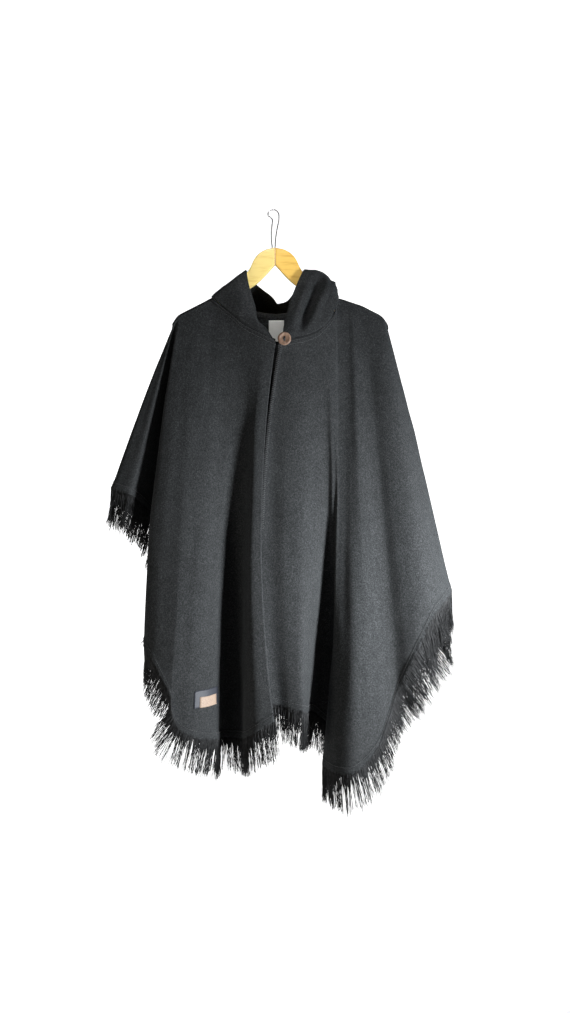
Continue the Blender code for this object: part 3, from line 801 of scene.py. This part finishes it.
yarn, tree, shader, where = new_material(
    "black_yarn",
    {"Roughness": 0.9, "Specular IOR Level": 0.06, "Sheen Weight": 0.04},
)
ply = noise_node(tree, where, 700, 3, 0.6, (1, 1, 0.25))
shade = noise_node(tree, where, 90, 2, 0.5)
coloured(
    tree,
    shader,
    weighted(tree, (ply, 0.6), (shade, 0.4)),
    (0.35, (0.012, 0.012, 0.0125)),
    (0.55, (0.026, 0.026, 0.0265)),
    (0.75, (0.055, 0.055, 0.056)),
)
bump(tree, shader, ply, 0.0008, 0.8)

noise.seed_set(LOCK_SEED)
locks = [yarn_lock(f"yarn_lock_{i}", i + 1, STRANDS, YARN_LENGTH) for i in range(LOCKS)]
for piece_name, panels in (("front_fringe", FRONT_FRINGES), ("back_fringe", BACK_FRINGES)):
    lines = []
    for (table, grid, side), stops in panels:
        names = [row[0] for row in table]
        for start, splay, end in zip(stops[::2], stops[1::2], stops[2::2]):
            first, last = [COLUMNS_PER_FOLD * names.index(name) for name in (start, end)]
            lines.append(hem_line(grid, first, last, side, splay))
    fringe = repeated(piece_name, lines, locks, yarn, *LOCK_SPREAD, 8)
    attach(fringe, "root")
cad_fringes = [name for name in frame["nodes"] if name.startswith("fringe_")]
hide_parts(*[name for name in cad_fringes if "_back_" not in name])
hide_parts(*[name for name in cad_fringes if "_back_" in name])

# Hood: two halves of the felt, sewn to the neck, standing up round the hanger in front and fallen into a
# pouch behind.
# Stations: side of the hanger (-1 front, 0 over the shoulder, 1 back), seam x, lift, rim x, y, z, forward,
# rise, share of the pouch
HOOD_LEFT = (
    (-1, -8, 0, -16, -49, -266, 0, 0, 0),
    (-1, -39, 0, -41, -36, -238, 5, 0, 0),
    (-1, -73, 0, -44, -27, -216, 8, 0, 0),
    (-1, -94, 0, -52, -20, -188, 10, 0, 0),
    (-1, -118, 0, -60, -14, -158, 8, 1, 0),
    (-1, -136, 1, -64, -9, -130, 2, 3, 0),
    (0, -139, 1, -64, 0, -128, 0, 3, 0),
    (1, -132, 2, -60, 10, -134, -2, 3, 0.2),
    (1, -112, 0, -48, 26, -148, -6, 3, 0.4),
    (1, -75, 0, -28, 52, -160, -6, 0, 0.75),
    (1, -38, 0, -8, 82, -170, -6, 0, 0.97),
    (1, -0.4, 0, -0.4, 100, -180, -6, 0, 1),
)
HOOD_RIGHT = (
    (-1, 13, 0, 15, -48, -268, 0, 0, 0),
    (-1, 39, 0, 20, -38, -241, 5, 0, 0),
    (-1, 65, 0, 25, -30, -218, 6, 4, 0),
    (-1, 88, 0, 31, -25, -196, 4, 10, 0),
    (-1, 114, 0, 42, -18, -165, 6, 18, 0),
    (-1, 131.5, 9, 58, -9, -131, 2, 24, 0),
    (0, 132, 1, 60, 0, -127, 0, 26, 0),
    (1, 128, 2, 56, 10, -132, -2, 20, 0.2),
    (1, 105, 0, 46, 26, -152, -6, 8, 0.4),
    (1, 70, 0, 32, 54, -172, -6, 2, 0.75),
    (1, 38, 0, 16, 84, -180, -6, 0, 0.97),
    (1, 0.4, 0, 0.4, 100, -180, -6, 0, 1),
)
HOOD_SEAM_GAP = 0.6
POUCH_DROP = 165.0
POUCH_DEPTH = 92.0
# The half's soft unevenness: turns a millimetre and heights
HOOD_WAVE_SIZE, HOOD_WAVE, HOOD_RIPPLE = 0.03, 2.2, 0.8
# The right half's hollow with the roll beside it, and the bunch with its creases, all seen from the front
HOLLOW_TOP, HOLLOW_LOW = Vector((88, 0, -160)), Vector((52, 0, -252))
HOLLOW_DEPTH, HOLLOW_WIDTH = 19, 11
ROLL_RISE, ROLL_AWAY, ROLL_WIDTH = 4, 18, 8
BUNCH_PLACE = Vector((112, 0, -172))
BUNCH_RISE, BUNCH_WIDTH = 8, 20
CREASES, CREASE_RISE, CREASE_WIDTH = 6, 3.2, 26


def right_folds(point):
    """On the right half: a hollow beside the broad roll of its rim, and a creased bunch over the shoulder."""
    front = min(1.0, max(0.0, (2 - point.y) / 12))
    flat = Vector((point.x, 0, point.z))
    fall = HOLLOW_LOW - HOLLOW_TOP
    t = min(1.0, max(0.0, (flat - HOLLOW_TOP).dot(fall) / fall.length_squared))
    away = (flat - HOLLOW_TOP.lerp(HOLLOW_LOW, t)).length
    roll = ROLL_RISE * exp(-(((away - ROLL_AWAY) / ROLL_WIDTH) ** 2))
    hollow = (roll - HOLLOW_DEPTH * exp(-((away / HOLLOW_WIDTH) ** 2))) * sin(pi * (0.12 + 0.76 * t))
    off = flat - BUNCH_PLACE
    bunch = BUNCH_RISE * exp(-((off.length / BUNCH_WIDTH) ** 2))
    creases = CREASE_RISE * exp(-((off.length / CREASE_WIDTH) ** 2))
    creases *= sin(atan2(off.z, off.x) * CREASES + off.length * 0.12)
    return front * (hollow + bunch + creases)


def hood_half(name, table, flip, seed):
    """Half of the hood: front stations stand up from the neck, back ones fall into the pouch."""
    sections = []
    for where_seam, seam_x, lift, rim_x, rim_y, rim_z, forward, rise, pouch in table:
        if where_seam:
            y, z = along(NECK_FRONT if where_seam < 0 else NECK_BACK, seam_x)
        else:
            y, z = 0.0, shoulder_z(seam_x)
        if abs(seam_x) < 1:
            seam_x, rim_x = -3 * seam_x, -3 * rim_x
        seam = Vector((seam_x, y, z + HOOD_SEAM_GAP + lift))
        rim = Vector((rim_x, rim_y, rim_z))
        drop = POUCH_DROP * pouch
        rear = seam.y + POUCH_DEPTH * pouch
        fall = (
            seam,
            seam + Vector((0, 5, 13)),
            seam + Vector((0, 20, 13)),
            Vector((seam.x * 0.9, seam.y + 0.42 * (rear - seam.y) + 6, seam.z - drop * 0.45)),
            Vector((seam.x * 0.8, seam.y + 0.72 * (rear - seam.y) + 6, seam.z - drop)),
            Vector((seam.x * 0.85, rear + 12, seam.z - drop * 0.7)),
            Vector((seam.x * 0.8, rear + 14, seam.z - drop * 0.15)),
            rim,
        )
        section = []
        for k, hanging in enumerate(fall):
            t = k / (len(fall) - 1)
            bulge = Vector((0, -forward * sin(pi * t), rise * sin(pi * t**0.7)))
            section.append((seam.lerp(rim, t) + bulge).lerp(hanging, pouch))
        sections.append(section)
    rows = [refined([section[k] for section in sections], 8) for k in range(len(sections[0]))]
    columns = [refined([row[c] for row in rows], 5) for c in range(len(rows[0]))]
    normals = normals_of(columns, -1 if flip else 1)
    last_row, last_column = len(columns[0]) - 1, len(columns) - 1
    made = []
    for c, column in enumerate(columns):
        line = []
        for r, point in enumerate(column):
            calm = min(1.0, r / 6) * min(1.0, (last_column - c) / 8) * min(1.0, (last_row - r) / 3)
            at = point * HOOD_WAVE_SIZE + Vector((seed, 0, 0))
            folds = 0 if flip else right_folds(point)
            lift = calm * (HOOD_WAVE * noise.noise(at) + HOOD_RIPPLE * noise.noise(at * 2.6) + folds)
            line.append(point + normals[c][r] * lift)
        made.append(line)
    obj = cloth(name, [made], felt, flip)
    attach(obj, "root")
    return obj


hood_left = hood_half("hood_felt_left", HOOD_LEFT, True, 2.0)
hood_right = hood_half("hood_felt_right", HOOD_RIGHT, False, 5.0)
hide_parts("hood_left")
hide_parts("hood_right")

# Hanger: two arms of clear-lacquered beech, mitred in the middle, the left one paler than the right.
# One arm's outline: distance from the middle, height, smooth or corner
ARM = (
    (0.2, -79, "VECTOR"), (22, -84, "AUTO"), (41, -98, "AUTO"),
    (55, -124, "AUTO"), (69, -143, "AUTO"), (97, -170, "AUTO"),
    (122, -182.6, "VECTOR"), (198, -221.5, "VECTOR"), (210, -232, "AUTO"),
    (213, -241, "AUTO"), (206, -250, "AUTO"), (195, -246, "VECTOR"),
    (137, -219, "VECTOR"), (97, -200, "AUTO"), (75, -185, "AUTO"),
    (54, -167, "AUTO"), (37, -155, "AUTO"), (0.2, -117, "VECTOR"),
)
WOOD_THICK = 12.0
WOOD_ROUNDING = 4.0


def wood_material(name, pale, deep, lean):
    """Lacquered wood with its grain along an arm that leans by this angle."""
    material, tree, shader, where = new_material(
        name,
        {
            "Roughness": 0.38, "Coat Weight": 0.15, "Coat Roughness": 0.15,
            "Specular IOR Level": 0.25,
        },
    )
    grain = noise_node(tree, where, 150, 4, 0.55, (0.12, 1, 1), (0, lean, 0))
    pores = noise_node(tree, where, 900, 2, 0.5, (0.06, 1, 1), (0, lean, 0))
    both = weighted(tree, (grain, 0.75), (pores, 0.25))
    coloured(tree, shader, both, (0.3, deep), (0.5, pale), (0.75, pale))
    bump(tree, shader, pores, 0.0002, 0.25)
    return material


def hanger_arm(name, sign, material):
    """One arm: its outline filled, extruded and rounded, mitred in the middle."""
    curve = bpy.data.curves.new(name, "CURVE")
    curve.dimensions = "2D"
    curve.fill_mode = "BOTH"
    curve.extrude = (WOOD_THICK / 2 - WOOD_ROUNDING) * MM
    curve.bevel_depth = WOOD_ROUNDING * MM
    curve.bevel_resolution = 4
    curve.offset = -WOOD_ROUNDING * MM
    curve.resolution_u = 10
    spline = curve.splines.new("BEZIER")
    spline.bezier_points.add(len(ARM) - 1)
    for knot, (away, height, kind) in zip(spline.bezier_points, ARM):
        knot.co = (sign * away * MM, height * MM, 0)
        knot.handle_left_type = kind
        knot.handle_right_type = kind
    spline.use_cyclic_u = True
    source = linked(name + "_outline", curve)
    mesh = evaluated_mesh(source)
    bpy.data.objects.remove(source)
    for vertex in mesh.vertices:
        x, y, z = vertex.co
        vertex.co = (x + HANGER_MIDDLE * MM, -z, y)
    mesh.materials.clear()
    mesh.materials.append(material)
    shape = bmesh.new()
    shape.from_mesh(mesh)
    bmesh.ops.remove_doubles(shape, verts=shape.verts, dist=1e-6)
    bmesh.ops.recalc_face_normals(shape, faces=shape.faces)
    shape.to_mesh(mesh)
    shape.free()
    mesh.shade_smooth()
    mesh.set_sharp_from_angle(angle=radians(40))
    arm = linked(name, mesh)
    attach(arm, "root")
    return arm


pale = wood_material("pale_beech", (0.88, 0.68, 0.24), (0.76, 0.53, 0.15), radians(-28))
warm = wood_material("warm_beech", (0.88, 0.56, 0.13), (0.7, 0.38, 0.07), radians(28))
arm_left = hanger_arm("hanger_beech_left", -1, pale)
arm_right = hanger_arm("hanger_beech_right", 1, warm)
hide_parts("hanger_arm_left")
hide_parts("hanger_arm_right")

# Hook: one length of bright plated wire, doubled into a loop with a small curl at its top, both ends let
# into the wood. Points: x, z
HOOK = (
    (-3, -78.6), (-2, -62), (0, -45),
    (3, -30), (5, -17), (4, -4),
    (-1, 1.5), (-9, 3), (-15, 1.5),
    (-18, -4), (-17.5, -10), (-13, -13.5),
    (-9, -18), (-9.5, -28), (-11, -45),
    (-11, -60), (-9, -79.2),
)
WIRE = 3.0
WIRE_SIDES = 14
chrome, tree, shader, where = new_material("bright_wire", {"Metallic": 0.85, "Roughness": 0.25})
drawn = noise_node(tree, where, 1500, 2, 0.5, (1, 1, 0.1))
coloured(tree, shader, drawn, (0.3, (0.42, 0.42, 0.43)), (0.7, (0.6, 0.6, 0.61)))
bump(tree, shader, drawn, 0.0001, 0.2)
path = refined([Vector((x, 0, z)) for x, z in HOOK], 8)
shape = tube([point * MM for point in path], [WIRE / 2 * MM] * len(path), WIRE_SIDES)
hook = smooth_piece(shape, "hook_wire", chrome)
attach(hook, "root")
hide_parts("hanger_hook")

# Button: a turned shell disc with a raised rim and two holes, one over the other, sewn on with black
# thread at the right front's neck corner.
BUTTON_PLACE = Vector((17.0, -56.0, -283.0))
BUTTON_SIDES = 64
HOLE_RADIUS = 2.1
HOLE_SPACING = 7.0
HOLE_SIDES = 24
CUTTER_DEPTH = 12.0
BUTTON_STRANDS, STRAND_GAP, STRAND_RADIUS = 4, 0.95, 0.55
# Half of a strand through the button: y, and how far it keeps inside its hole's middle
HALF_STRAND = ((4.0, 0.2), (0.6, 0.2), (-1.0, 0.5), (-1.75, 1.6))
# Profile of the disc: radius and how far it stands to the front of its middle
BUTTON_PROFILE = (
    (0.0, 0.7), (5.6, 0.7), (7.6, 0.75),
    (8.8, 1.2), (9.8, 1.75), (11.6, 1.8),
    (13.0, 1.45), (13.8, 0.6), (14.0, -0.2),
    (13.6, -1.1), (12.4, -1.7), (9.0, -1.8),
    (0.0, -1.8),
)
shell, tree, shader, where = new_material("brown_shell", {"Roughness": 0.42, "Coat Weight": 0.15})
rings = noise_node(tree, where, 160, 4, 0.6, (1, 1, 0.35), (0, 0.5, 0))
specks = noise_node(tree, where, 1300, 2, 0.5)
coloured(
    tree,
    shader,
    weighted(tree, (rings, 0.75), (specks, 0.25)),
    (0.3, (0.1, 0.055, 0.034)),
    (0.5, (0.21, 0.125, 0.083)),
    (0.7, (0.33, 0.225, 0.16)),
)
bump(tree, shader, specks, 0.0002, 0.4)
shape = bmesh.new()
rings = []
for radius, stand in BUTTON_PROFILE:
    ring = []
    for k in range(BUTTON_SIDES if radius else 1):
        a = 2 * pi * k / BUTTON_SIDES
        around = Vector((radius * cos(a), -stand, radius * sin(a)))
        ring.append(shape.verts.new((BUTTON_PLACE + around) * MM))
    rings.append(ring)
for near, far in zip(rings, rings[1:]):
    for k in range(BUTTON_SIDES):
        after = k + 1
        corners = [near[k % len(near)], near[after % len(near)], far[after % len(far)], far[k % len(far)]]
        shape.faces.new([v for i, v in enumerate(corners) if v not in corners[:i]])
button = smooth_piece(shape, "shell_button", shell)
for sign in (-1, 1):
    bpy.ops.mesh.primitive_cylinder_add(
        vertices=HOLE_SIDES,
        radius=HOLE_RADIUS * MM,
        depth=CUTTER_DEPTH * MM,
        location=(BUTTON_PLACE + Vector((0, 0, sign * HOLE_SPACING / 2))) * MM,
        rotation=(pi / 2, 0, 0),
    )
    cutter = bpy.context.object
    hole = button.modifiers.new("hole", "BOOLEAN")
    hole.operation = "DIFFERENCE"
    hole.object = cutter
    plain(button)
    bpy.data.objects.remove(cutter)
button.data.shade_smooth()
button.data.set_sharp_from_angle(angle=radians(35))
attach(button, "root")
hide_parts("button")
reach = HOLE_SPACING / 2
sewing = bmesh.new()
for k in range(BUTTON_STRANDS):
    aside = (k - (BUTTON_STRANDS - 1) / 2) * STRAND_GAP
    upper = [Vector((aside, y, reach - inside)) for y, inside in HALF_STRAND]
    lower = [Vector((aside, y, inside - reach)) for y, inside in reversed(HALF_STRAND)]
    strand = [*upper, Vector((aside * 1.15, -1.9, 0)), *lower]
    strand = refined([(BUTTON_PLACE + point) * MM for point in strand], 4)
    tube(strand, [STRAND_RADIUS * MM] * len(strand), STITCH_SIDES, sewing)
button_sewing = smooth_piece(sewing, "button_sewing", thread)
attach(button_sewing, "root")
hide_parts("button_thread")

# Labels: a bare white woven tape that hangs from the back of the neck, and a bare dark tape with a plain
# tan patch, sewn on the left front near the hem.
LABEL_PLACE = Vector((-0.5, 25.0, -230.5))
LABEL_WIDTH, LABEL_LENGTH, LABEL_THICK = 33.0, 46.0, 0.8
LABEL_COLUMNS, LABEL_ROWS = 12, 18
LABEL_BOW, LABEL_CURL = 2.5, 0.5


def woven(name, turns, stretch, roughness, pale, deep):
    """A woven tape's material: turns of its weave a metre, their stretch, and its two tones."""
    material, tree, shader, where = new_material(name, {"Roughness": roughness})
    weave = noise_node(tree, where, turns, 1, 0.4, stretch)
    coloured(tree, shader, weave, (0.3, deep), (0.7, pale))
    bump(tree, shader, weave, 0.0003, 0.5)
    return material


tape = woven("white_tape", 1400, (1, 1, 0.5), 0.7, (0.97, 0.97, 0.94), (0.9, 0.9, 0.87))
label_grid = []
for u in range(LABEL_COLUMNS + 1):
    column = []
    for v in range(LABEL_ROWS + 1):
        forward = -LABEL_BOW * sin(pi * v / (2 * LABEL_ROWS)) - LABEL_CURL * sin(pi * u / LABEL_COLUMNS)
        hanging = Vector((LABEL_WIDTH * (u / LABEL_COLUMNS - 0.5), forward, -LABEL_LENGTH * v / LABEL_ROWS))
        column.append(LABEL_PLACE + hanging)
    label_grid.append(column)
neck_label = cloth("neck_tape", [label_grid], tape, thickness=LABEL_THICK)
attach(neck_label, "root")
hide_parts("neck_label")

# The dark tape lies on the left front's own points: fold-line columns across and rows above the hem, with
# how far its right end climbs
dark = woven("dark_tape", 1500, (1, 1, 0.4), 0.6, (0.022, 0.025, 0.036), (0.008, 0.009, 0.014))
tan = woven("tan_patch", 1500, (1, 1, 0.4), 0.65, (0.34, 0.25, 0.19), (0.2, 0.14, 0.1))
TAPE_ROWS = 12


def hem_tape(name, finish, first, last, top, low, climb, proud, thickness):
    """A tape on the left front between two columns, from top to low in millimetres above the hem."""
    normals = normals_of(left_grid, -1)
    grid = []
    for c in range(first, last + 1):
        share = (c - first) / (last - first)
        column = left_grid[c]
        line = []
        for k in range(TAPE_ROWS + 1):
            height = top + (low - top) * k / TAPE_ROWS + climb * share
            r = len(column) - 1
            while column[r].z < column[-1].z + height:
                r -= 1
            t = (column[r].z - column[-1].z - height) / (column[r].z - column[r + 1].z)
            point = column[r].lerp(column[r + 1], t)
            line.append(point + normals[c][r] * (proud + thickness))
        grid.append(line)
    return cloth(name, [grid], finish, thickness=thickness)


dark_label = hem_tape(
    "hem_tape", dark, first=116, last=129, top=94, low=58, climb=20, proud=0.4, thickness=0.8
)
tan_label = hem_tape(
    "hem_tape_patch", tan, first=120, last=128, top=86, low=64, climb=12, proud=1.4, thickness=0.4
)
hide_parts("hem_label")
for piece in (dark_label, tan_label):
    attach(piece, "root")

# Studio: a pale sweep of floor and wall that glows behind the object, a soft key light at the right with a
# weaker one beside it, a fill at the left and a small one above the hanger, and the photograph's camera.
SWEEP_HALF_WIDTH, SWEEP_FRONT, SWEEP_BEND, SWEEP_TOP = 5, -6.0, 3.1, 4.0
FLOOR_Z, BEND_RADIUS = -1.8, 0.9
# Lights: name, place, what it is aimed at, size in metres, watts, colour, spread in degrees
LIGHTS = (
    ("key", (1.32, -1.0, -0.92), (0.25, 0.0, -0.86), 0.35, 13.5, (0.93, 0.97, 1.0), 60),
    ("side", (1.6, -0.3, -0.6), (0.2, 0.0, -0.85), 0.4, 2, (0.88, 0.92, 1.0), 90),
    ("fill", (-1.5, -0.9, -1.4), (-0.1, 0.0, -0.9), 0.5, 3.4, (1.0, 0.98, 0.9), 120),
    ("hanger", (-0.1, -0.55, 0.35), (0.0, 0.0, -0.08), 0.15, 0.12, (1.0, 1.0, 1.0), 28),
)
ROOM_LIGHT = 0.05
CAMERA_AWAY, SENSOR, VIEW_HEIGHT = 2.2, 36, 2.178
paper, tree, shader, where = new_material("white_paper", {"Roughness": 0.9, "Emission Strength": 1.02})
speck = noise_node(tree, where, 3, 2, 0.5)
coloured(tree, shader, speck, (0.3, (0.9, 0.9, 0.9)), (0.7, (0.93, 0.93, 0.93)))
axes = tree.nodes.new("ShaderNodeSeparateXYZ")
tree.links.new(where, axes.inputs["Vector"])
depth = maths(tree, "ADD", maths(tree, "MULTIPLY", axes.outputs["Y"], 0.4), 0.4)
glow = ramp(tree, depth, ((0.15, (0.12, 0.12, 0.12)), (0.62, (1, 1, 1))))
tree.links.new(glow, shader.inputs["Emission Color"])
shape = bmesh.new()
profile = [(SWEEP_FRONT, FLOOR_Z), (SWEEP_BEND, FLOOR_Z)]
for degrees in range(10, 91, 10):
    a = radians(degrees)
    profile.append((SWEEP_BEND + BEND_RADIUS * sin(a), FLOOR_Z + BEND_RADIUS - BEND_RADIUS * cos(a)))
profile.append((SWEEP_BEND + BEND_RADIUS, SWEEP_TOP))
left_side = [shape.verts.new((-SWEEP_HALF_WIDTH, y, z)) for y, z in profile]
right_side = [shape.verts.new((SWEEP_HALF_WIDTH, y, z)) for y, z in profile]
for i in range(len(profile) - 1):
    shape.faces.new((left_side[i], right_side[i], right_side[i + 1], left_side[i + 1]))
sweep = smooth_piece(shape, "sweep", paper, outward=False)
for name, place, aim, size, power, colour, spread in LIGHTS:
    light = bpy.data.lights.new(name, "AREA")
    light.shape = "RECTANGLE"
    light.size = size
    light.size_y = size
    light.energy = power
    light.color = colour
    light.spread = radians(spread)
    softbox = linked(name, light)
    softbox.location = place
    softbox.rotation_euler = (Vector(aim) - Vector(place)).to_track_quat("-Z", "Y").to_euler()
world = bpy.data.worlds.new("studio")
world.use_nodes = True
world.node_tree.nodes["Background"].inputs["Color"].default_value = (1, 1, 1, 1)
world.node_tree.nodes["Background"].inputs["Strength"].default_value = ROOM_LIGHT
bpy.context.scene.world = world
bpy.context.scene.view_settings.view_transform = "Standard"

lens = bpy.data.cameras.new("camera")
lens.sensor_fit = "AUTO"
lens.sensor_width = SENSOR
lens.lens = SENSOR * CAMERA_AWAY / VIEW_HEIGHT
camera = linked("camera", lens)
camera.location = (0.0183, -CAMERA_AWAY, -0.635)
camera.rotation_euler = (pi / 2, 0, 0)
bpy.context.scene.camera = camera
